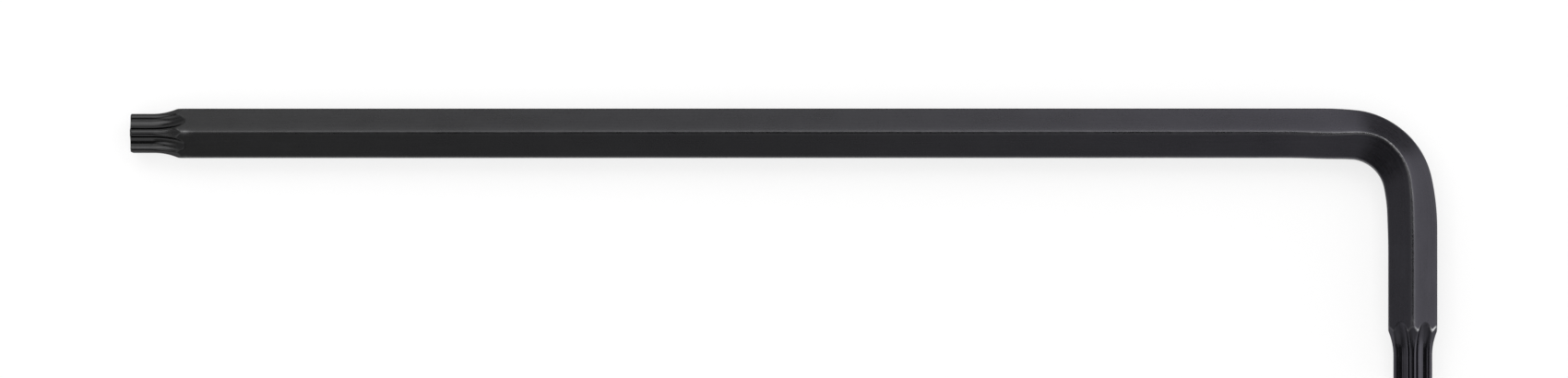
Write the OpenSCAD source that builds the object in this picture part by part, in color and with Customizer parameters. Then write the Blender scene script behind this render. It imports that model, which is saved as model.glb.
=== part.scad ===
// Star key: a hexagonal steel bar, bent once to an L and pressed to a six-lobe star at both ends.
// Lengths are in millimetres and angles in degrees. The key lies flat, with one corner edge of the
// hexagon upwards and the opposite one on the plane Z = 0. The long arm runs along X with its tip
// at the left, the short arm points along -Y, and the middle of the key's outline is over the origin.

/* [Hexagon bar] */
// Width across two opposite flats
bar_flats = 5; // [4.6:0.1:6]
// Depth rounded off each corner edge of the hexagon
corner_cut = 0.055; // [0.02:0.005:0.15]

/* [Arms] */
// From the end of the long tip to the outer flat of the short arm
long_reach = 134; // [80:1:200]
// From the end of the short tip to the outer flat of the long arm
short_reach = 28; // [25:0.5:50]

/* [Bend] */
// Radius of the bar's axis in the tight middle of the bend
bend_r = 6.2; // [4:0.1:10]
// Radius of the bar's axis where the long arm eases into the bend
long_ease_r = 38; // [15:1:80]
// Angle turned where the long arm eases into the bend
long_ease_turn = 5; // [1:0.5:15]
// Radius of the bar's axis where the bend eases into the short arm
short_ease_r = 24; // [12:1:40]
// Angle turned where the bend eases into the short arm
short_ease_turn = 11.5; // [1:0.5:20]

/* [Star] */
// Width across two opposite lobes, before their crests are dressed
star_lobes = 4.458; // [4.3:0.002:4.7]
// Width across the bottoms of two opposite flutes
star_flutes = 3.177; // [2.9:0.001:3.4]
// Radius of the round crest of a lobe
lobe_r = 0.374; // [0.3:0.002:0.45]
// Depth dressed off the crest of each lobe
crest_cut = 0.015; // [0.005:0.005:0.05]

/* [Tips] */
// Straight length of the star on the long arm
long_star_len = 2.25; // [1.5:0.05:8]
// Straight length of the star on the short arm
short_star_len = 2.7; // [1.5:0.05:5]
// Radius, along the bar, on which a flute runs out through its flat
flute_run_r = 6.8; // [4:0.1:12]
// Radius, along the bar, on which a crest flares out to its corner edge
crest_flare_r = 7.5; // [4:0.1:12]
// Bevel round the end of each star
end_bevel = 0.15; // [0.05:0.05:0.4]
// Whole hexagon between the last of the flutes and the start of the plain arm
collar_len = 0.5; // [0.2:0.1:3]

/* [Hidden] */
$fn = 96;
steel = [0.17, 0.17, 0.18];

// The bar: a hexagon whose rounded corner edges lie on a circle. The axis lies that far above Z = 0.
sides = 6;
half_pitch = 180 / sides;
sharp_r = bar_flats / 2 / cos(half_pitch);
corner_r = sharp_r - corner_cut;
long_axis_y = (short_reach - bar_flats) / 2;
short_axis_x = (long_reach - bar_flats) / 2;

// The turn from +X to -Y: the long arm's easing arc, the tight bend and the short arm's easing arc.
full_turn = 90;
late_turn = full_turn - short_ease_turn;
bend_dx = long_ease_r * sin(long_ease_turn)
    + bend_r * (sin(late_turn) - sin(long_ease_turn))
    + short_ease_r * (1 - sin(late_turn));
bend_dy = long_ease_r * (1 - cos(long_ease_turn))
    + bend_r * (cos(long_ease_turn) - cos(late_turn))
    + short_ease_r * cos(late_turn);
bend_start_x = short_axis_x - bend_dx;
bend_end_y = long_axis_y - bend_dy;
long_ease_c = [bend_start_x, long_axis_y - long_ease_r];
bend_c = long_ease_c + (long_ease_r - bend_r) * [sin(long_ease_turn), cos(long_ease_turn)];
short_ease_c = bend_c + (bend_r - short_ease_r) * [sin(late_turn), cos(late_turn)];

// The star: a round lobe at each corner edge and a round flute in each flat, on common tangents.
root_r = star_flutes / 2;
lobe_out = star_lobes / 2 - lobe_r;
lobe_c = lobe_out * [cos(half_pitch), sin(half_pitch)];
flute_r = (pow(root_r, 2) + pow(lobe_out, 2) - 2 * root_r * lobe_c.x - pow(lobe_r, 2))
    / (2 * (lobe_r + lobe_c.x - root_r));
flute_c = [root_r + flute_r, 0];
meet = atan2(lobe_c.y, flute_c.x - lobe_c.x);
crest_r = star_lobes / 2 - crest_cut;

// The cut for one flute, square to the bar: X is the way out from the axis. It starts beside the
// crest, so that neighbouring cuts stay apart, and its mouth is past the corner edges.
past = bar_flats / 4;
past_turn = 5;
first = half_pitch - past_turn;
lobe_steps = 5;
flute_steps = 12;
lobe_side = [for (i = [0:lobe_steps]) on_circle(lobe_c, lobe_r, first - (first + meet) * i / lobe_steps)];
step_turn = 2 * meet / flute_steps;
valley = [for (i = [1:flute_steps - 1]) on_circle(flute_c, flute_r, 180 - meet + step_turn * i)];
other_side = [for (i = [lobe_steps:-1:0]) [lobe_side[i].x, -lobe_side[i].y]];
mouth = [[corner_r + past, -lobe_side[0].y], [corner_r + past, lobe_side[0].y]];
flute_cut = concat(lobe_side, valley, other_side, mouth);

// The run-out: each flute rises on an arc until it leaves the flat, and each crest until the corner.
run_c = root_r + flute_run_r;
flute_depth = bar_flats / 2 - root_r;
flute_run = sqrt(flute_depth * (2 * flute_run_r - flute_depth));
run_turn = acos(1 - flute_depth / flute_run_r) + past_turn;
crest_rise = corner_r - crest_r;
crest_run = sqrt(crest_rise * (2 * crest_flare_r - crest_rise));
run_len = max(flute_run, crest_run) + collar_len;

function on_circle(centre, r, angle) = centre + r * [cos(angle), sin(angle)];

// Section of the bar: flats across X, corner edges across Y.
module bar_section() {
    intersection() {
        rotate(half_pitch) circle(r = sharp_r, $fn = sides);
        circle(r = corner_r);
    }
}

// Half outline of a tip before its flutes are cut: bevel, straight crest and flare.
module tip_outline(star_len) {
    polygon([[0, 0], [crest_r - end_bevel, 0], [crest_r, end_bevel], [crest_r, star_len], [0, star_len]]);
    difference() {
        translate([0, star_len]) square([corner_r + past, run_len]);
        translate([crest_r + crest_flare_r, star_len]) circle(r = crest_flare_r);
    }
}

// The tool path of one flute: along the straight star, then up its run-out.
module flute_cutter(star_len) {
    translate([0, 0, -past]) linear_extrude(height = star_len + past) polygon(flute_cut);
    translate([run_c, 0, star_len])
        rotate([90, 0, 180])
            rotate_extrude(angle = run_turn)
                polygon([for (p = flute_cut) [run_c - p.x, p.y]]);
}

// A star tip that stands on its end, with the arm to follow above it.
module star_tip(star_len) {
    difference() {
        intersection() {
            linear_extrude(height = star_len + run_len) bar_section();
            rotate_extrude() tip_outline(star_len);
        }
        for (i = [0:sides - 1]) rotate(2 * half_pitch * i) flute_cutter(star_len);
    }
}

// The bar on an arc about the origin, from the X axis.
module turned_bar(r, turn) {
    rotate_extrude(angle = turn) translate([r, 0]) bar_section();
}

// An arm that comes straight up from -Y and then eases into the bend.
module eased_arm(straight_len, r, turn) {
    translate([r, 0, 0]) rotate([90, 0, 0]) linear_extrude(height = straight_len) bar_section();
    turned_bar(r, turn);
}

module long_star_tip() {
    color(steel)
        translate([-long_reach / 2, long_axis_y, corner_r])
            rotate([90, 0, 90]) star_tip(long_star_len);
}

module long_arm() {
    straight_len = bend_start_x + long_reach / 2 - long_star_len - run_len;
    color(steel)
        translate([long_ease_c.x, long_ease_c.y, corner_r])
            rotate(full_turn) mirror([0, 1, 0]) eased_arm(straight_len, long_ease_r, long_ease_turn);
}

module bend() {
    color(steel)
        translate([bend_c.x, bend_c.y, corner_r])
            rotate(short_ease_turn) turned_bar(bend_r, late_turn - long_ease_turn);
}

module short_arm() {
    straight_len = bend_end_y + short_reach / 2 - short_star_len - run_len;
    color(steel)
        translate([short_ease_c.x, short_ease_c.y, corner_r])
            eased_arm(straight_len, short_ease_r, short_ease_turn);
}

module short_star_tip() {
    color(steel)
        translate([short_axis_x, -short_reach / 2, corner_r])
            rotate([-90, 0, 0]) star_tip(short_star_len);
}

long_star_tip();
long_arm();
bend();
short_arm();
short_star_tip();
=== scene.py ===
import math

import bpy
import numpy as np
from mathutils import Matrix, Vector


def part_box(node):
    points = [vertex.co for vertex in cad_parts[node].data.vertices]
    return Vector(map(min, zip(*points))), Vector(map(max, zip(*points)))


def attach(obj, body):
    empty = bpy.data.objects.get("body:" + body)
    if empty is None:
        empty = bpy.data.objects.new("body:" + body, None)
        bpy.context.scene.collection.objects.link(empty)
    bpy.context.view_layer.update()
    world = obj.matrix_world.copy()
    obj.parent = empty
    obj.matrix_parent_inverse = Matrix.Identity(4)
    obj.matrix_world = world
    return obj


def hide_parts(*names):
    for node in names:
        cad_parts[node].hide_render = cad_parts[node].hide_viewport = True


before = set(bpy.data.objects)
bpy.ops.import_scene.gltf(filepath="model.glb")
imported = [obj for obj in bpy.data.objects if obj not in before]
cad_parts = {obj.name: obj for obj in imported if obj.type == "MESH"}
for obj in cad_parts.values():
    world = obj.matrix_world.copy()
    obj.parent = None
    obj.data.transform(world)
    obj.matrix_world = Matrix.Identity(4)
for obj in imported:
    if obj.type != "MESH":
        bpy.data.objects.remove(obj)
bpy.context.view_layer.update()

bl_info = {
    "name": "Star key",
    "version": (1, 0, 0),
    "blender": (4, 5, 0),
    "location": "3D View > Sidebar > Star key",
    "description": "Builds an L-shaped star key of blackened steel bar on a pale studio floor",
    "category": "Object",
}

MM = 0.001

# Sides of the bar, half the angle from one to the next, and a right angle.
SIDES = 6
HALF_PITCH = math.pi / SIDES
QUARTER = math.pi / 2

# Places read from the solids: the two star tips show where both arms' axes lie and how thick the bar is.
LONG_LOW, LONG_HIGH = (np.array(corner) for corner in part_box("long_star_tip"))
SHORT_LOW, SHORT_HIGH = (np.array(corner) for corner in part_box("short_star_tip"))
LONG_MID = (LONG_LOW + LONG_HIGH) / 2
SHORT_MID = (SHORT_LOW + SHORT_HIGH) / 2
LONG_SPAN = LONG_HIGH - LONG_LOW
SHORT_SPAN = SHORT_HIGH - SHORT_LOW

# Fineness round the bar: the number of points, and how far they crowd towards the corner edges.
POINTS_ROUND = 480
CROWDING = 0.75

# Fineness along the bar: the rows of the plain stretches and of a tip, and the narrow row at each seam.
ROW_STEPS = {"long_arm": 0.65 * MM, "bend": 0.08 * MM, "short_arm": 0.25 * MM}
BEVEL_ROWS = 6
STAR_ROWS = 23
RUN_OUT_STEP = 0.042 * MM
SEAM_ROW = 0.01 * MM

# How often the interval is halved in which a flute's surface is sought.
HALVINGS = 44

# Warp of the section in the bend: the share of the bend at which it peaks, and its reach both ways.
WARP_PEAK = 0.43
WARP_REACH_BEFORE = 2.8 * MM
WARP_REACH_AFTER = 5.0 * MM

# Swelling before and after the bend: its distance from the bend, and its reach along the bar.
SWELL_BEFORE = 2.7 * MM
SWELL_BEFORE_REACH = 2.2 * MM
SWELL_AFTER = 4.0 * MM
SWELL_AFTER_REACH = 1.7 * MM

# Lean of the corner edges there as a share of their drift, and the later swelling as a share of the earlier.
LEAN_BEFORE = 0.28
LEAN_AFTER = 0.1
SWELL_AFTER_SHARE = 0.6

# Wear and painted highlight in the bend: their reach as a share of the bend's length, and the reach of the
# proudest spot.
BEND_WEAR_REACH = 0.75
PROUD_REACH = 0.9 * MM

# Wear and painted highlight on the collar of a tip: its distance from the plain arm, and its reach along the
# bar.
COLLAR_WEAR_AT = 0.5 * MM
COLLAR_WEAR_REACH = 0.4 * MM

# Wear and painted highlight round the bar: the spread of the upper edge, which carries most of them, and the
# step between that edge's two sides.
UPPER_SPREAD = math.radians(30)
SIDE_STEP = math.radians(1.2)

# Rubbed teeth of the short star: the angle of their middle, and their spread.
TEETH_AT = math.radians(50)
TEETH_SPREAD = math.radians(32)

# Reach of the marks: the painted sheen beside a corner edge, the rim of a pressed star, and its teeth.
PAINTED_SHEEN_REACH = 0.65 * MM
RIM_REACH = 0.06 * MM
TOOTH_REACH = 0.2 * MM

# Depths over which the surface of a tip turns to plain bar and to a pressed star.
ON_BAR_STEP = 0.03 * MM
PRESSED_STEP = 0.06 * MM

# Patterns of the finish: their frequency across, up and along the unbent bar, and the noise's detail.
PATTERNS = {
    "grain": ((7000, 7000, 160), 3.0),
    "mottle": ((420, 420, 260), 4.0),
    "cloud": ((120, 120, 45), 2.0),
    "scuff": ((2500, 2500, 1200), 3.0),
    "speck": ((4500, 4500, 3000), 2.0),
}
PATTERN_ROUGHNESS = 0.55
PATTERN_LOW = 0.3
PATTERN_HIGH = 0.7

# How far the patterns make the black lighter or darker, as a share, and rougher or smoother.
SHADE_SWING = {"grain": 0.07, "mottle": 0.08, "cloud": 0.05, "speck": 0.05}
ROUGH_SWING = {"grain": 0.04, "mottle": 0.03, "speck": 0.035}

# Strength and depth of the drawing grain.
GRAIN_BUMP = 0.12
GRAIN_DEPTH = 0.02 * MM

# Scuffs: the range of their pattern, and how much of the edges' wear and painted highlight they leave at its
# two ends.
SCUFF_LOW = 0.35
SCUFF_HIGH = 0.65
SCUFF_LEAST = 0.75
SCUFF_MOST = 1.15

# Shades of the black, as shares: a painted sheen beside the upper edge, the pressed stars, and a painted
# shade over the long tip's end.
PAINTED_SHEEN_GAIN = 1.2
PRESSED_SHADE = 1.2
END_PAINTED_SHADE = 0.92

# Distances from the long tip's end: where its painted shade ends, and where the two other colours are
# reached.
END_PAINTED_SHADE_TO = 50 * MM
MIDDLE_AT = 70 * MM
BEND_AT = 123 * MM

# Soft boxes: azimuth and elevation in degrees, distance, width and height, and the radiance that they show.
SOFT_BOXES = (
    {"name": "high_bank", "toward": (202, 53), "distance": 0.7, "size": (0.62, 0.4), "radiance": 1.8},
    {"name": "low_bank", "toward": (184.5, 27), "distance": 0.9, "size": (0.52, 0.36), "radiance": 0.94},
    {
        "name": "tip_box",
        "toward": (0, 90),
        "distance": 0.4,
        "size": (0.13, 0.3),
        "radiance": 1.45,
        "beside": (-0.15, 0.035, 0),
        "spread": 70,
    },
    {
        "name": "tip_card",
        "toward": (315, 50),
        "distance": 0.12,
        "size": (0.06, 0.06),
        "radiance": 1.8,
        "beside": (-0.063, 0.0115, 0.003),
        "spread": 50,
    },
    {"name": "right_box", "toward": (93, 30), "distance": 0.7, "size": (0.74, 0.7), "radiance": 0.98},
    {"name": "front_card", "toward": (357, 19), "distance": 0.7, "size": (0.24, 0.4), "radiance": 0.58},
    {"name": "left_card", "toward": (263, 42), "distance": 0.7, "size": (0.46, 0.44), "radiance": 0.29},
    {"name": "front_lamp", "toward": (25, 55), "distance": 0.5, "size": (0.2, 0.2), "radiance": 0.8},
    {"name": "corner_lamp", "toward": (135, 62), "distance": 0.7, "size": (0.2, 0.2), "radiance": 3.0},
    {
        "name": "top_box",
        "toward": (0, 89),
        "distance": 1.4,
        "size": (1.4, 1.4),
        "radiance": 1.4,
        "in_metal": False,
    },
)

# Stage: half the floor's width, the sine of the elevation from which it is dark, the camera's near limit.
FLOOR_HALF = 3.0
DARK_FROM = 0.92
CLIP_START = 0.01


def length(name, description, default):
    """A length that a user may change, in metres."""
    return bpy.props.FloatProperty(
        name=name, description=description, default=float(default), unit="LENGTH", precision=5, min=0.0
    )


def angle(name, description, degrees):
    """An angle that a user may change, written here in degrees."""
    return bpy.props.FloatProperty(
        name=name, description=description, default=math.radians(degrees), unit="ROTATION", subtype="ANGLE"
    )


def share(name, description, default):
    """A plain number that a user may change."""
    return bpy.props.FloatProperty(name=name, description=description, default=default, min=0.0)


def colour(name, description, default):
    """A colour that a user may change."""
    return bpy.props.FloatVectorProperty(
        name=name, description=description, default=default, subtype="COLOR", size=3, min=0.0, max=1.0
    )


class StarKeyShape(bpy.types.PropertyGroup):
    """Sizes of the bar, of its bend and of the stars on its ends."""

    bar_flats: length("Bar across flats", "Width of the hexagon across two opposite flats", LONG_SPAN[1])
    corner_out: length("Corner edge", "From the bar's axis to a rounded corner edge", LONG_SPAN[2] / 2)
    long_tip: length("Long tip", "Length of the pressed tip on the long arm", LONG_SPAN[0])
    short_tip: length("Short tip", "Length of the pressed tip on the short arm", SHORT_SPAN[1])
    bend_r: length("Bend radius", "Radius of the axis in the tight middle of the bend", 6.2 * MM)
    long_ease_r: length("Long easing radius", "Radius in which the long arm eases into the bend", 38 * MM)
    long_ease_turn: angle("Long easing angle", "Angle turned as the long arm eases into the bend", 5)
    short_ease_r: length("Short easing radius", "Radius in which the bend eases into the short arm", 24 * MM)
    short_ease_turn: angle("Short easing angle", "Angle turned as the bend eases into the short arm", 11.5)
    star_lobes: length("Star across lobes", "Width of the star across two opposite lobes", 4.458 * MM)
    star_flutes: length("Star across flutes", "Width of the star between two opposite flutes", 3.177 * MM)
    lobe_r: length("Lobe radius", "Radius of the round crest of a lobe", 0.374 * MM)
    crest_cut: length("Crest cut", "Depth dressed off the crest of each lobe", 0.015 * MM)
    long_star: length("Long star", "Straight length of the star on the long arm", 2.25 * MM)
    short_star: length("Short star", "Straight length of the star on the short arm", 2.7 * MM)
    flute_run_r: length("Flute run-out", "Radius on which a flute runs out through its flat", 6.8 * MM)
    crest_flare_r: length("Crest flare", "Radius on which a crest flares out to its corner edge", 7.5 * MM)
    end_bevel: length("End bevel", "Bevel round the end of each star", 0.15 * MM)
    corner_soft: length("Soft corner", "How far a flat and the round of a corner edge blend", 0.03 * MM)
    crest_soft: length("Soft crest", "How far the crest and the side of a lobe blend", 0.06 * MM)
    edge_soft: length("Soft edge", "How far the star and the hexagon blend where they meet", 0.07 * MM)
    corner_drift: length("Corner drift", "How far the bend moves the upper and lower edge out", 0.49 * MM)
    outer_sink: length("Outer sink", "How far the bend draws in the outer flat", 0.08 * MM)
    inner_swell: length("Inner swell", "How far the inner flat swells beside the bend", 0.1 * MM)


class StarKeyWearAndHighlight(bpy.types.PropertyGroup):
    """How far the black is rubbed off the edges, as shares of bare steel, and how widely. On the upper edge
    this bare steel is a painted highlight as well as wear.
    """

    plain: share("At the long tip", "Wear of the upper corner edge at the long tip", 0.03)
    gained: share("Towards the bend", "Wear that this edge gains from the long tip to the bend", 0.07)
    bent: share("In the bend", "Wear that this edge gains in the bend", 0.5)
    proud: share("Proudest spot", "Wear that this edge gains where the bend stands out most", 0.3)
    long_collar: share("Long collar", "Wear that this edge gains on the collar of the long tip", 0.22)
    short_collar: share("Short collar", "Wear that this edge gains on the collar of the short tip", 0.1)
    others: share("Other edges", "Wear of the other corner edges, as a share of the upper one's", 0.15)
    width: length("Width", "Half the width of the worn line along the arms", 0.2 * MM)
    bent_width: length("Width in the bend", "Half the width of the worn line in the bend", 0.09 * MM)
    long_teeth: share("Long teeth", "Wear of the long star's teeth where they meet the hexagon", 0.04)
    short_teeth: share("Short teeth", "Wear of the short star's teeth where they meet the hexagon", 0.12)
    outer_teeth: share("Outer teeth", "Wear that the upper outer teeth of the short star gain", 1.6)


class StarKeyFinish(bpy.types.PropertyGroup):
    """Colours and finish of the blackened steel."""

    oxide: colour("Black oxide", "Colour of the black at the long tip", (0.0445, 0.0445, 0.0452))
    # The black turns a little lighter and bluer from the long tip through the long arm to the bend.
    black_amid_arm: colour("Middle black", "Colour of the black amid the long arm", (0.0446, 0.0442, 0.0477))
    black_from_bend: colour("Black at the bend", "Colour of the black from the bend on", (0.06, 0.0581, 0.0681))
    bare: colour("Bare steel", "Colour of the steel where the black is rubbed through", (0.56, 0.56, 0.57))
    glance: colour("Glancing tint", "Tint of the steel's reflection at a glancing angle", (0.5, 0.5, 0.5))
    bar_rough: share("Bar roughness", "Roughness of the drawn faces of the bar", 0.31)
    star_rough: share("Star roughness", "Roughness of the straight part of the star tips", 0.14)
    run_rough: share("Run-out roughness", "Roughness where the flutes of a star run out", 0.45)
    long_fade: length("Long fade", "Length over which the long star's polish fades out", 4.5 * MM)
    short_fade: length("Short fade", "Length over which the short star's polish fades out", 2.5 * MM)


class StarKeyStage(bpy.types.PropertyGroup):
    """Floor, light and camera."""

    floor: colour("Floor", "Colour of the studio floor", (0.28, 0.28, 0.28))
    floor_glow: share("Floor glow", "White that the floor adds to what the camera and the metal see", 0.74)
    horizon: colour("Horizon", "Colour of the studio near the horizon", (0.42, 0.42, 0.42))
    overhead: colour("Overhead", "Colour of the studio overhead", (0.06, 0.06, 0.06))
    view_distance: length("View distance", "From the camera to the key", 1.5)
    view_lift: angle("View elevation", "Elevation of the camera above the horizon", 88.2)
    view_side: angle("View lean", "How far the camera leans from the vertical towards the short arm", 1.9)
    view_width: length("View width", "Width of the picture at the key", 160.66 * MM)
    aim_x: length("Aim along", "From the key's middle to the picture's, along the long arm", 0.126 * MM)
    aim_y: length("Aim across", "From the key's middle to the picture's, across the long arm", 5.74 * MM)


def star_measures(shape):
    """Sizes of the star that follow from the driving ones. A lobe and a flute meet on a common tangent,
    which gives the flute's radius. Names in u are heights over the axis in a flute's middle plane, and
    names in v distances from that plane."""
    root = shape.star_flutes / 2
    lobe_out = shape.star_lobes / 2 - shape.lobe_r
    lobe_u = lobe_out * math.cos(HALF_PITCH)
    lobe_v = lobe_out * math.sin(HALF_PITCH)
    power = root**2 + lobe_out**2 - 2 * root * lobe_u - shape.lobe_r**2
    flute_r = power / (2 * (shape.lobe_r + lobe_u - root))
    return {
        "root": root,
        "lobe_u": lobe_u,
        "lobe_v": lobe_v,
        "flute_r": flute_r,
        "flute_u": root + flute_r,
        "crest": shape.star_lobes / 2 - shape.crest_cut,
        "crest_v": shape.star_lobes / 2 * math.sin(HALF_PITCH),
    }


def axis_stretches(shape):
    """The bar's axis as five stretches: straight, easing arc, tight arc, easing arc, straight. Returns their
    lengths and curvatures; the straight ones are as long as the places of the two tips make them."""
    early = shape.long_ease_turn
    late = QUARTER - shape.short_ease_turn
    radii = np.array([shape.long_ease_r, shape.bend_r, shape.short_ease_r])
    turned = np.array([0, early, late, QUARTER])
    reach_x = (radii * np.diff(np.sin(turned))).sum()
    reach_y = (radii * -np.diff(np.cos(turned))).sum()
    first = SHORT_MID[0] - reach_x - LONG_LOW[0]
    last = LONG_MID[1] - reach_y - SHORT_LOW[1]
    lengths = np.r_[first, radii * np.diff(turned), last]
    return lengths, np.r_[0, 1 / radii, 0]


def axis_marks(shape):
    """Distances along the axis where one piece ends and the next begins, from the long tip's end."""
    lengths, _ = axis_stretches(shape)
    ends = np.cumsum(lengths)
    return {
        "long_star_tip": (0.0, shape.long_tip),
        "long_arm": (shape.long_tip, ends[1]),
        "bend": (ends[1], ends[2]),
        "short_arm": (ends[2], ends[-1] - shape.short_tip),
        "short_star_tip": (ends[-1] - shape.short_tip, ends[-1]),
    }


def chord(way, curvature, heading):
    """The straight line over a distance way of an arc that starts with a heading. Its length is
    way sinc(c way / 2) and its direction heading + c way / 2, where c is the curvature."""
    half = curvature * way / 2
    size = way * np.sinc(half / math.pi)
    return np.stack([size * np.cos(heading + half), -size * np.sin(heading + half)], axis=-1)


def along_axis(shape, s):
    """Points of the axis and its outward normals at the distances s: the start of the stretch that holds
    each distance, and the chord from there."""
    lengths, curvatures = axis_stretches(shape)
    starts = np.r_[0, np.cumsum(lengths)[:-1]]
    headings = np.r_[0, np.cumsum(lengths * curvatures)[:-1]]
    steps = np.cumsum(chord(lengths, curvatures, headings), axis=0)
    places = np.array([LONG_LOW[0], LONG_MID[1]]) + np.vstack([[0, 0], steps[:-1]])
    held = np.clip(np.searchsorted(starts, s, side="right") - 1, 0, len(starts) - 1)
    way = s - starts[held]
    plan = places[held] + chord(way, curvatures[held], headings[held])
    turn = headings[held] + curvatures[held] * way
    points = np.column_stack([plan, np.full(len(s), LONG_MID[2])])
    normals = np.column_stack([np.sin(turn), np.cos(turn), np.zeros(len(s))])
    return points, normals


def bell(x, width):
    """A bell curve of height 1: exp(-(x / width)^2)."""
    return np.exp(-((x / width) ** 2))


def level_step(x):
    """Rises from 0 to 1 as x does, level at both ends: 3 x^2 - 2 x^3."""
    x = np.clip(x, 0, 1)
    return x * x * (3 - 2 * x)


def soft_min(a, b, blend):
    """The smaller of two fields, rounded off by a parabola where they are within blend of each other."""
    near = np.maximum(blend - np.abs(a - b), 0) / blend
    return np.minimum(a, b) - near**2 * blend / 4


def hexagon_radius(shape, fold):
    """Radius of the hexagon at the angle fold from the nearest flat: the flat's straight line, and near a
    corner the circle on which the corner edges lie."""
    return soft_min(shape.bar_flats / 2 / np.cos(fold), shape.corner_out, shape.corner_soft)


def flute_level(shape, star, aside, past):
    """Height of a flute's surface at the distance aside from its middle plane: the flute's hollow arc or the
    lobe's round arc, carried along the bar and then up on the run-out circle. After the distance past, that
    circle has raised a point at height h to c - sqrt((c - h)^2 - past^2), with its centre at height c."""
    aside = np.minimum(np.abs(aside), star["crest_v"])
    hollow = star["flute_u"] - np.sqrt(np.maximum(star["flute_r"] ** 2 - aside**2, 0))
    lobe = star["lobe_u"] + np.sqrt(np.maximum(shape.lobe_r**2 - (aside - star["lobe_v"]) ** 2, 0))
    join = star["lobe_v"] * star["flute_r"] / (star["flute_r"] + shape.lobe_r)
    height = np.where(aside < join, hollow, lobe)
    centre = star["root"] + shape.flute_run_r
    left = (centre - height) ** 2 - past**2
    return np.where(left > 0, centre - np.sqrt(np.maximum(left, 0)), centre)


def flute_radius(shape, star, fold, past):
    """Radius at which a ray at the angle fold meets the flute's surface, found by halving an interval."""
    low = np.zeros(np.broadcast_shapes(fold.shape, past.shape))
    high = np.full(low.shape, 2 * shape.bar_flats)
    for _ in range(HALVINGS):
        mid = (low + high) / 2
        inside = mid * np.cos(fold) < flute_level(shape, star, mid * np.sin(fold), past)
        low = np.where(inside, mid, low)
        high = np.where(inside, high, mid)
    return (low + high) / 2


def tip_radii(shape, star_len, from_end, fold):
    """Three radii that shape a tip: the hexagon, the crests with their bevel and flare, and the flutes."""
    star = star_measures(shape)
    past = np.maximum(from_end - star_len, 0)
    rise = np.minimum(past / shape.crest_flare_r, 1)
    flare = star["crest"] + shape.crest_flare_r * (1 - np.sqrt(1 - rise**2))
    crest = np.minimum(flare, star["crest"] - shape.end_bevel + from_end)
    flute = flute_radius(shape, star, fold, past)
    hexagon = np.broadcast_to(hexagon_radius(shape, fold), flute.shape)
    return hexagon, np.broadcast_to(crest, flute.shape), flute


def round_grid():
    """Angles round the bar, from the outer flat upwards, and each one's angle from the nearest flat. They
    lie closer together near the corner edges: theta = u + c sin(6 u) / 6."""
    even = np.arange(POINTS_ROUND) * (2 * math.pi / POINTS_ROUND)
    theta = even + CROWDING * np.sin(SIDES * even) / SIDES
    fold = (theta + HALF_PITCH) % (2 * HALF_PITCH) - HALF_PITCH
    return theta[None, :], fold[None, :]


def rows_between(low, high, step):
    """Distances from low to high about step apart, with a narrow first and last row, so that the normals of
    two pieces agree where they meet."""
    count = max(int(round((high - low) / step)), 1)
    inner = np.linspace(low, high, count + 1)[1:-1]
    return np.r_[low, low + SEAM_ROW, inner, high - SEAM_ROW, high]


def bend_warp(shape, s, across, lift):
    """How far bending has moved each point of the section across the bar. In the tight part the upper and
    the lower corner edge have moved outwards and the outer flat has been drawn in; beside it the inner flat
    swells and the corner edges lean that way. From the edge of a flat to such a corner edge the shift grows
    evenly, so that the faces stay plane across the bar."""
    low, high = axis_marks(shape)["bend"]
    way = s - low - WARP_PEAK * (high - low)
    tight = bell(way, np.where(way < 0, WARP_REACH_BEFORE, WARP_REACH_AFTER))
    before = bell(s - low + SWELL_BEFORE, SWELL_BEFORE_REACH)
    after = bell(s - high - SWELL_AFTER, SWELL_AFTER_REACH)
    corner = shape.corner_drift * (tight - LEAN_BEFORE * before - LEAN_AFTER * after)
    outer = -shape.outer_sink * tight
    inner = -shape.inner_swell * (before + SWELL_AFTER_SHARE * after)
    flat_edge = shape.bar_flats / 2 * math.tan(HALF_PITCH)
    raised = np.clip((np.abs(lift) - flat_edge) / (shape.corner_out - flat_edge), 0, 1)
    flat = np.where(across > 0, outer[:, None], inner[:, None])
    return flat + raised * (corner[:, None] - flat)


def place_on_bar(shape, s, theta, radius):
    """Grid of points: the section's radius turned by theta from the axis's outward normal towards +Z, and
    the section warped in the bend."""
    points, normals = along_axis(shape, s)
    up = np.array([0.0, 0.0, 1.0])
    across = radius * np.cos(theta)
    lift = radius * np.sin(theta)
    across = across + bend_warp(shape, s, across, lift)
    return points[:, None, :] + across[..., None] * normals[:, None, :] + lift[..., None] * up


def straight_place(s, theta, radius):
    """Where each point lay before the bar was bent: across, up and along."""
    along = np.broadcast_to(s[:, None], radius.shape)
    return np.stack([radius * np.cos(theta), radius * np.sin(theta), along], axis=-1)


def upper_edge_wear_and_highlight(wear_and_highlight, theta):
    """How much wear and painted light each angle takes: 1 on the upper corner edge, which also carries a
    painted highlight and sheen, and a small share on the other five.
    """
    return wear_and_highlight.others + (1 - wear_and_highlight.others) * bell(theta - QUARTER, UPPER_SPREAD)


def upper_painted_sheen(wear_and_highlight, theta, from_corner):
    """Painted sheen: a lighter band beside the upper corner edge, a bell from the edge, cut off on its inner
    side.
    """
    outer_side = np.clip(0.5 + (QUARTER - theta) / SIDE_STEP, 0, 1)
    return bell(from_corner, PAINTED_SHEEN_REACH) * upper_edge_wear_and_highlight(wear_and_highlight, theta) * outer_side


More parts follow.
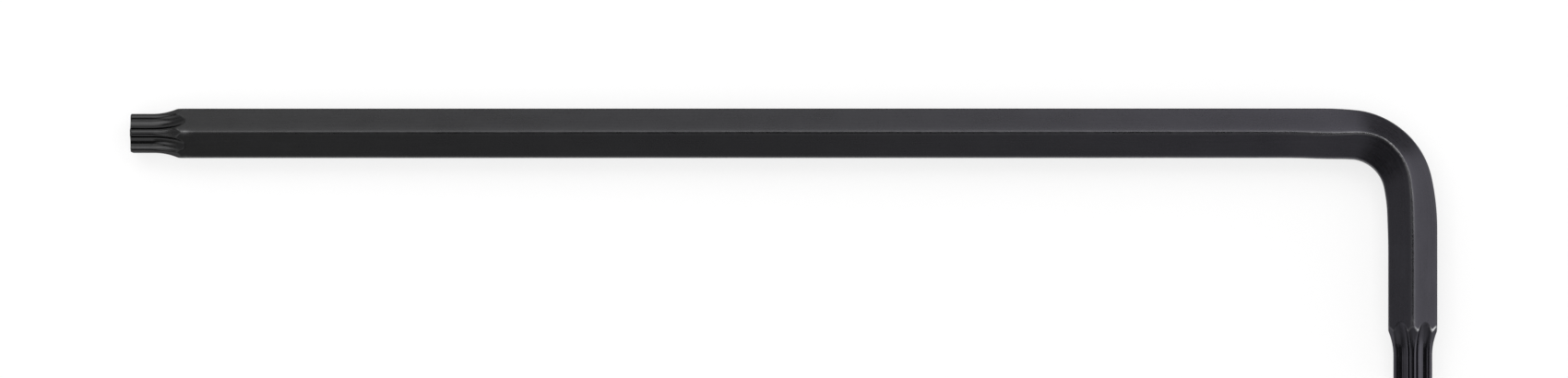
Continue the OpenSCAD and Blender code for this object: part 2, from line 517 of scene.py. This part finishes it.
def corner_bare_and_highlight(shape, wear_and_highlight, s, theta, from_corner):
    """How far a corner edge is rubbed bare at each distance along the bar, angle round it and distance from
    the
    edge: a little everywhere, more but narrower in the bend, more on each tip's collar, and most on the
    upper edge, where the bare steel is a painted highlight as well as wear."""
    low, high = axis_marks(shape)["bend"]
    _, end = axis_marks(shape)["short_star_tip"]
    middle = (low + high) / 2
    bent = bell(s - middle, BEND_WEAR_REACH * (high - low))
    proud = bell(s - middle, PROUD_REACH)
    long_collar = bell(s - shape.long_tip + COLLAR_WEAR_AT, COLLAR_WEAR_REACH)
    short_collar = bell(end - s - shape.short_tip + COLLAR_WEAR_AT, COLLAR_WEAR_REACH)
    rubbed = wear_and_highlight.plain + wear_and_highlight.gained * s / middle + wear_and_highlight.bent * bent + wear_and_highlight.proud * proud
    rubbed = rubbed + wear_and_highlight.long_collar * long_collar + wear_and_highlight.short_collar * short_collar
    width = wear_and_highlight.width + (wear_and_highlight.bent_width - wear_and_highlight.width) * bent
    return rubbed[:, None] * upper_edge_wear_and_highlight(wear_and_highlight, theta) * bell(from_corner, width[:, None])


def ring_faces(rings, across):
    """Faces of a closed skin over rings of points: quads between neighbouring rings, and fans on the first
    and the last ring, round two middle points that follow the rings."""
    row = np.arange(rings - 1)[:, None] * across
    here = np.arange(across)
    beside = (here + 1) % across
    quads = np.stack([row + here, row + beside, row + across + beside, row + across + here], axis=-1)
    last = (rings - 1) * across
    middle = np.full(across, rings * across)
    first_fan = np.column_stack([middle, beside, here])
    last_fan = np.column_stack([middle + 1, last + here, last + beside])
    return quads.reshape(-1, 4), np.vstack([first_fan, last_fan])


def with_middles(grid):
    """All points of a grid of rings, followed by the middles of its first and its last ring."""
    return np.vstack([grid.reshape(-1, 3), grid[0].mean(axis=0), grid[-1].mean(axis=0)]).astype(np.float32)


def bar_mesh(name, grid, straight, marks):
    """Makes a closed mesh of a grid of rings, with flat ends that have sharp rims. straight holds each
    point's place on the bar before it was bent, and marks are values per point, which are 0 in the middles
    of the ends."""
    rings, across = grid.shape[:2]
    verts = with_middles(grid)
    quads, fans = ring_faces(rings, across)
    sizes = np.r_[np.full(len(quads), 4), np.full(len(fans), 3)]
    mesh = bpy.data.meshes.new(name)
    mesh.vertices.add(len(verts))
    mesh.vertices.foreach_set("co", verts.ravel())
    mesh.loops.add(int(sizes.sum()))
    mesh.loops.foreach_set("vertex_index", np.r_[quads.ravel(), fans.ravel()].astype(np.int32))
    mesh.polygons.add(len(sizes))
    mesh.polygons.foreach_set("loop_start", np.r_[0, np.cumsum(sizes)[:-1]].astype(np.int32))
    mesh.update(calc_edges=True)
    pairs = np.empty(2 * len(mesh.edges), dtype=np.int32)
    mesh.edges.foreach_get("vertices", pairs)
    pairs = np.sort(pairs.reshape(-1, 2), axis=1)
    last = (rings - 1) * across
    first_rim = pairs[:, 1] < across
    last_rim = (pairs[:, 0] >= last) & (pairs[:, 1] < last + across)
    sharp = mesh.attributes.new("sharp_edge", "BOOLEAN", "EDGE")
    sharp.data.foreach_set("value", first_rim | last_rim)
    flat = mesh.attributes.new("sharp_face", "BOOLEAN", "FACE")
    flat.data.foreach_set("value", sizes == 3)
    place = mesh.attributes.new("bar_place", "FLOAT_VECTOR", "POINT")
    place.data.foreach_set("vector", with_middles(straight).ravel())
    for mark, values in marks.items():
        layer = mesh.attributes.new(mark, "FLOAT", "POINT")
        layer.data.foreach_set("value", np.r_[values.ravel(), 0, 0].astype(np.float32))
    mesh.validate()
    return mesh


def add_piece(name, mesh, material):
    """Puts a mesh into the scene as a piece of the key that stands for the solid of the same name."""
    piece = bpy.data.objects.new(name + "_steel", mesh)
    bpy.context.collection.objects.link(piece)
    mesh.materials.append(material)
    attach(piece, "root")
    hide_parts(name)


def make_bar(name, shape, wear_and_highlight, material):
    """A stretch of plain bar: the rounded hexagon carried along the axis."""
    theta, fold = round_grid()
    low, high = axis_marks(shape)[name]
    s = rows_between(low, high, ROW_STEPS[name])
    radius = np.broadcast_to(hexagon_radius(shape, fold), (len(s), POINTS_ROUND))
    from_corner = radius * (HALF_PITCH - np.abs(fold))
    none = np.zeros(radius.shape)
    # The marks: bare steel on the corner edges, which is wear and on the upper edge a painted highlight too,
    # and a painted sheen beside the upper edge.
    marks = {
        "bare_and_highlight": corner_bare_and_highlight(shape, wear_and_highlight, s, theta, from_corner),
        "painted_sheen": upper_painted_sheen(wear_and_highlight, theta, from_corner),
        "pressed": none,
        "polish": none,
    }
    grid = place_on_bar(shape, s, theta, radius)
    add_piece(name, bar_mesh(name, grid, straight_place(s, theta, radius), marks), material)


def make_tip(name, shape, wear_and_highlight, star_len, fade, teeth, material):
    """A star tip: the smallest of the hexagon, crest and flute radii at each angle and distance from the
    end, with soft edges, closed by a flat star. Its polish fades along the run-out, and teeth is how far
    the star's teeth are rubbed at each angle where they meet the hexagon."""
    theta, fold = round_grid()
    low, high = axis_marks(shape)[name]
    bevel = np.linspace(0, shape.end_bevel, BEVEL_ROWS, endpoint=False)
    star = np.linspace(shape.end_bevel, star_len, STAR_ROWS, endpoint=False)
    from_end = np.r_[bevel, star, rows_between(star_len, high - low, RUN_OUT_STEP)]
    hexagon, crest, flute = tip_radii(shape, star_len, from_end[:, None], fold)
    cut = soft_min(crest, flute, shape.crest_soft)
    radius = soft_min(hexagon, cut, shape.edge_soft)

    starts_bar = name == "long_star_tip"
    s = low + from_end if starts_bar else high - from_end
    from_corner = radius * (HALF_PITCH - np.abs(fold))
    on_bar = np.clip((cut - hexagon) / ON_BAR_STEP, 0, 1)
    tooth = bell(hexagon - crest, TOOTH_REACH) * bell(hexagon - flute, TOOTH_REACH)
    tooth_rub = teeth * tooth * bell(hexagon - cut, RIM_REACH)
    # Bare steel on the plain bar's edges: wear, with a painted highlight on the upper edge.
    bar_bare_and_highlight = on_bar * corner_bare_and_highlight(shape, wear_and_highlight, s, theta, from_corner)
    pressed = np.clip((hexagon - cut) / PRESSED_STEP + 0.5, 0, 1)
    marks = {
        "bare_and_highlight": np.clip(np.maximum(tooth_rub, bar_bare_and_highlight), 0, 1),
        # A painted sheen beside the upper edge, on plain bar only.
        "painted_sheen": on_bar * upper_painted_sheen(wear_and_highlight, theta, from_corner),
        "pressed": pressed,
        "polish": pressed * (1 - level_step((from_end[:, None] - star_len) / fade)),
    }

    # Rows run onwards from the long tip's end, so those of the short tip are turned round.
    order = slice(None) if starts_bar else slice(None, None, -1)
    s, radius = s[order], radius[order]
    marks = {mark: values[order] for mark, values in marks.items()}
    grid = place_on_bar(shape, s, theta, radius)
    add_piece(name, bar_mesh(name, grid, straight_place(s, theta, radius), marks), material)


def connect(tree, socket, value):
    """Gives an input a value, or links it to another node's output."""
    if isinstance(value, bpy.types.NodeSocket):
        tree.links.new(value, socket)
    else:
        socket.default_value = value


def add_node(tree, kind, settings=None, **inputs):
    """Adds a shader node, sets its own settings and fills the named inputs with values or links."""
    node = tree.nodes.new(kind)
    for key, value in (settings or {}).items():
        setattr(node, key, value)
    for key, value in inputs.items():
        connect(tree, node.inputs[key.replace("_", " ")], value)
    return node


def maths(tree, operation, first, second, clamp=False):
    """Two values added or multiplied."""
    node = add_node(tree, "ShaderNodeMath", {"operation": operation, "use_clamp": clamp})
    connect(tree, node.inputs[0], first)
    connect(tree, node.inputs[1], second)
    return node.outputs["Value"]


def remap(tree, value, low, high, to_low, to_high):
    """A value moved from one range to another and held there."""
    node = add_node(
        tree, "ShaderNodeMapRange", Value=value, From_Min=low, From_Max=high, To_Min=to_low, To_Max=to_high
    )
    return node.outputs["Result"]


def mix_colours(tree, factor, first, second):
    """One colour at the factor 0, the other at 1, and a mixture between."""
    node = add_node(tree, "ShaderNodeMix", {"data_type": "RGBA"})
    colours = [socket for socket in node.inputs if socket.type == "RGBA"]
    connect(tree, node.inputs["Factor"], factor)
    connect(tree, colours[0], first)
    connect(tree, colours[1], second)
    return next(socket for socket in node.outputs if socket.type == "RGBA")


def mesh_value(tree, name, output="Fac"):
    """A value that the mesh holds on each point."""
    return add_node(tree, "ShaderNodeAttribute", {"attribute_name": name}).outputs[output]


def pattern(tree, place, name):
    """Noise on the unbent bar, with its own frequency across, up and along it."""
    scale, detail = PATTERNS[name]
    mapped = add_node(tree, "ShaderNodeMapping", Vector=place, Scale=scale).outputs["Vector"]
    noise = add_node(tree, "ShaderNodeTexNoise", Vector=mapped, Scale=1.0, Detail=detail)
    noise.inputs["Roughness"].default_value = PATTERN_ROUGHNESS
    return noise.outputs["Fac"]


def blackened_steel(finish):
    """Black oxide on drawn steel: a dark metal with a grain along the bar, rubbed bare on its edges, with a
    painted highlight on the upper edge, a painted sheen beside it and a painted shade towards the long tip's
    end.
    """
    found = bpy.data.materials.get("blackened_steel_finish")
    if found:
        return found
    material = bpy.data.materials.new("blackened_steel_finish")
    material.use_nodes = True
    tree = material.node_tree
    tree.nodes.clear()
    place = mesh_value(tree, "bar_place", "Vector")
    along = add_node(tree, "ShaderNodeSeparateXYZ", Vector=place).outputs["Z"]
    pressed = mesh_value(tree, "pressed")
    patterns = {name: pattern(tree, place, name) for name in PATTERNS}

    # Painted shade darkens the black towards the long tip's end.
    shade = remap(tree, along, 0.0, END_PAINTED_SHADE_TO, END_PAINTED_SHADE, 1.0)
    # Painted sheen lightens the black beside the upper edge.
    shade = maths(tree, "MULTIPLY", shade, remap(tree, mesh_value(tree, "painted_sheen"), 0.0, 1.0, 1.0, PAINTED_SHEEN_GAIN))
    shade = maths(tree, "MULTIPLY", shade, remap(tree, pressed, 0.0, 1.0, 1.0, PRESSED_SHADE))
    for name, swing in SHADE_SWING.items():
        varied = remap(tree, patterns[name], PATTERN_LOW, PATTERN_HIGH, 1 - swing, 1 + swing)
        shade = maths(tree, "MULTIPLY", shade, varied)
    # The black turns lighter and bluer from the long tip to the bend.
    to_middle = remap(tree, along, 0.0, MIDDLE_AT, 0.0, 1.0)
    to_bend = remap(tree, along, MIDDLE_AT, BEND_AT, 0.0, 1.0)
    tint = mix_colours(tree, to_middle, (*finish.oxide, 1.0), (*finish.black_amid_arm, 1.0))
    tint = mix_colours(tree, to_bend, tint, (*finish.black_from_bend, 1.0))
    oxide = add_node(tree, "ShaderNodeVectorMath", {"operation": "SCALE"}, Scale=shade)
    connect(tree, oxide.inputs[0], tint)
    # Bare steel on the edges: wear, and along the upper edge a painted highlight too.
    scuffed = remap(tree, patterns["scuff"], SCUFF_LOW, SCUFF_HIGH, SCUFF_LEAST, SCUFF_MOST)
    worn_and_highlight = maths(tree, "MULTIPLY", mesh_value(tree, "bare_and_highlight"), scuffed)
    base = mix_colours(tree, worn_and_highlight, oxide.outputs["Vector"], (*finish.bare, 1.0))

    polished = finish.star_rough - finish.run_rough
    rough = remap(tree, pressed, 0.0, 1.0, finish.bar_rough, finish.run_rough)
    rough = maths(tree, "ADD", rough, remap(tree, mesh_value(tree, "polish"), 0.0, 1.0, 0.0, polished))
    for name, swing in ROUGH_SWING.items():
        varied = remap(tree, patterns[name], PATTERN_LOW, PATTERN_HIGH, -swing, swing)
        rough = maths(tree, "ADD", rough, varied)
    grain = patterns["grain"]
    bump = add_node(tree, "ShaderNodeBump", Strength=GRAIN_BUMP, Distance=GRAIN_DEPTH, Height=grain)

    shader = add_node(tree, "ShaderNodeBsdfPrincipled", Base_Color=base, Roughness=rough, Metallic=1.0)
    shader.inputs["Specular Tint"].default_value = (*finish.glance, 1.0)
    connect(tree, shader.inputs["Normal"], bump.outputs["Normal"])
    add_node(tree, "ShaderNodeOutputMaterial", Surface=shader.outputs["BSDF"])
    return material


def pale_floor(stage):
    """A matt pale floor that looks white to the camera and in the metal, and takes the key's shadow."""
    material = bpy.data.materials.new("pale_floor")
    material.use_nodes = True
    tree = material.node_tree
    tree.nodes.clear()
    path = tree.nodes.new("ShaderNodeLightPath")
    seen = path.outputs["Is Camera Ray"]
    for ray in ("Is Glossy Ray", "Is Transmission Ray"):
        seen = maths(tree, "ADD", seen, path.outputs[ray], clamp=True)
    level = maths(tree, "MULTIPLY", seen, stage.floor_glow)
    matt = add_node(tree, "ShaderNodeBsdfDiffuse", Color=(*stage.floor, 1.0))
    glow = add_node(tree, "ShaderNodeEmission", Color=(1.0, 1.0, 1.0, 1.0), Strength=level)
    both = tree.nodes.new("ShaderNodeAddShader")
    connect(tree, both.inputs[0], matt.outputs["BSDF"])
    connect(tree, both.inputs[1], glow.outputs["Emission"])
    add_node(tree, "ShaderNodeOutputMaterial", Surface=both.outputs["Shader"])
    return material


def add_floor(stage):
    """The studio floor: one square face under the key."""
    mesh = bpy.data.meshes.new("floor")
    corners = np.array([[-1, -1, 0], [1, -1, 0], [1, 1, 0], [-1, 1, 0]]) * FLOOR_HALF
    mesh.from_pydata(corners.tolist(), [], [(0, 1, 2, 3)])
    mesh.materials.append(pale_floor(stage))
    floor = bpy.data.objects.new("floor", mesh)
    bpy.context.collection.objects.link(floor)


def studio_world(stage):
    """A dim studio round the key: pale near the horizon and dark overhead, where the camera hangs."""
    world = bpy.data.worlds.new("studio")
    bpy.context.scene.world = world
    world.use_nodes = True
    tree = world.node_tree
    tree.nodes.clear()
    way = tree.nodes.new("ShaderNodeTexCoord").outputs["Generated"]
    height = add_node(tree, "ShaderNodeSeparateXYZ", Vector=way).outputs["Z"]
    ramp = add_node(tree, "ShaderNodeValToRGB", Fac=height)
    ramp.color_ramp.interpolation = "EASE"
    low, high = ramp.color_ramp.elements
    low.position = 0.0
    low.color = (*stage.horizon, 1.0)
    high.position = DARK_FROM
    high.color = (*stage.overhead, 1.0)
    shade = add_node(tree, "ShaderNodeBackground", Color=ramp.outputs["Color"], Strength=1.0)
    add_node(tree, "ShaderNodeOutputWorld", Surface=shade.outputs["Background"])


def soft_box(name, toward, distance, size, radiance, beside=(0, 0, 0), spread=180, in_metal=True):
    """A rectangular soft box at a distance from the key in a direction, which faces the key. Its power is
    pi times its area times the radiance that it shows, and for a cone of half angle h 1 - h / tan(h) times
    that. beside moves it off the key's middle, spread is the cone's full angle in degrees, and in_metal
    says whether it shows in the metal."""
    lamp = bpy.data.lights.new(name, "AREA")
    lamp.shape = "RECTANGLE"
    lamp.size, lamp.size_y = size
    half = math.radians(spread) / 2
    lamp.spread = 2 * half
    lamp.energy = math.pi * size[0] * size[1] * radiance * (1 - half / math.tan(half))
    box = bpy.data.objects.new(name, lamp)
    bpy.context.collection.objects.link(box)
    azimuth, lift = (math.radians(value) for value in toward)
    flat = distance * math.cos(lift)
    box.location = (flat * math.sin(azimuth), -flat * math.cos(azimuth), distance * math.sin(lift))
    box.location += Vector(beside)
    box.rotation_euler = (QUARTER - lift, 0.0, azimuth)
    box.visible_camera = False
    box.visible_glossy = in_metal


def add_camera(stage):
    """A camera that looks down on the key, at a point halfway from the bar's axis to its upper corner edge.
    It is tipped about the long arm by its elevation and about the short arm by its lean."""
    camera = bpy.data.cameras.new("camera")
    camera.sensor_fit = "HORIZONTAL"
    camera.lens = camera.sensor_width * stage.view_distance / stage.view_width
    camera.clip_start = CLIP_START
    eye = bpy.data.objects.new("camera", camera)
    bpy.context.collection.objects.link(eye)
    lift = stage.view_lift
    side = stage.view_side
    aim = np.array([stage.aim_x, stage.aim_y, LONG_MID[2] + LONG_SPAN[2] / 4])
    back = np.array([math.sin(side), -math.cos(side) * math.cos(lift), math.cos(side) * math.sin(lift)])
    eye.location = aim + stage.view_distance * back
    eye.rotation_mode = "ZYX"
    eye.rotation_euler = (QUARTER - lift, side, 0.0)
    bpy.context.scene.camera = eye


class STARKEY_OT_star_tips(bpy.types.Operator):
    """Makes the star tips of the long and the short arm"""

    bl_idname = "starkey.star_tips"
    bl_label = "Star tips"

    def execute(self, context):
        shape = context.scene.star_key_shape
        wear_and_highlight = context.scene.star_key_wear
        finish = context.scene.star_key_finish
        steel = blackened_steel(finish)
        theta, _ = round_grid()
        long_teeth = np.full(theta.shape, wear_and_highlight.long_teeth)
        short_teeth = wear_and_highlight.short_teeth + wear_and_highlight.outer_teeth * bell(theta - TEETH_AT, TEETH_SPREAD)
        make_tip("long_star_tip", shape, wear_and_highlight, shape.long_star, finish.long_fade, long_teeth, steel)
        make_tip("short_star_tip", shape, wear_and_highlight, shape.short_star, finish.short_fade, short_teeth, steel)
        return {"FINISHED"}


class STARKEY_OT_arms(bpy.types.Operator):
    """Makes the long and the short arm of hexagon bar"""

    bl_idname = "starkey.arms"
    bl_label = "Arms"

    def execute(self, context):
        steel = blackened_steel(context.scene.star_key_finish)
        for name in ("long_arm", "short_arm"):
            make_bar(name, context.scene.star_key_shape, context.scene.star_key_wear, steel)
        return {"FINISHED"}


class STARKEY_OT_bend(bpy.types.Operator):
    """Makes the tight part of the bend"""

    bl_idname = "starkey.bend"
    bl_label = "Bend"

    def execute(self, context):
        steel = blackened_steel(context.scene.star_key_finish)
        make_bar("bend", context.scene.star_key_shape, context.scene.star_key_wear, steel)
        return {"FINISHED"}


class STARKEY_OT_stage(bpy.types.Operator):
    """Makes the floor, the light and the camera"""

    bl_idname = "starkey.stage"
    bl_label = "Stage"

    def execute(self, context):
        stage = context.scene.star_key_stage
        add_floor(stage)
        studio_world(stage)
        for box in SOFT_BOXES:
            soft_box(**box)
        add_camera(stage)
        context.scene.view_settings.view_transform = "Standard"
        return {"FINISHED"}


class STARKEY_PT_sidebar(bpy.types.Panel):
    """Lists the key's operators and the sizes and colours they read"""

    bl_idname = "STARKEY_PT_sidebar"
    bl_label = "Star key"
    bl_space_type = "VIEW_3D"
    bl_region_type = "UI"
    bl_category = "Star key"

    def draw(self, context):
        """Draws a button for each operator and a field for each property."""
        for operator in OPERATORS:
            self.layout.operator(operator.bl_idname)
        for group, kind in GROUPS.items():
            for name in kind.__annotations__:
                self.layout.prop(getattr(context.scene, group), name)


GROUPS = {
    "star_key_shape": StarKeyShape,
    "star_key_wear": StarKeyWearAndHighlight,
    "star_key_finish": StarKeyFinish,
    "star_key_stage": StarKeyStage,
}
OPERATORS = (STARKEY_OT_star_tips, STARKEY_OT_arms, STARKEY_OT_bend, STARKEY_OT_stage)
CLASSES = (*GROUPS.values(), *OPERATORS, STARKEY_PT_sidebar)


def register():
    """Registers the classes and gives each scene its groups of properties."""
    for cls in CLASSES:
        bpy.utils.register_class(cls)
    for name, group in GROUPS.items():
        setattr(bpy.types.Scene, name, bpy.props.PointerProperty(type=group))


def unregister():
    """Takes the groups of properties off the scenes and unregisters the classes."""
    for name in GROUPS:
        delattr(bpy.types.Scene, name)
    for cls in reversed(CLASSES):
        bpy.utils.unregister_class(cls)


def main():
    """Builds the key and its stage."""
    register()
    bpy.ops.starkey.star_tips()
    bpy.ops.starkey.arms()
    bpy.ops.starkey.bend()
    bpy.ops.starkey.stage()


if __name__ == "__main__":
    main()
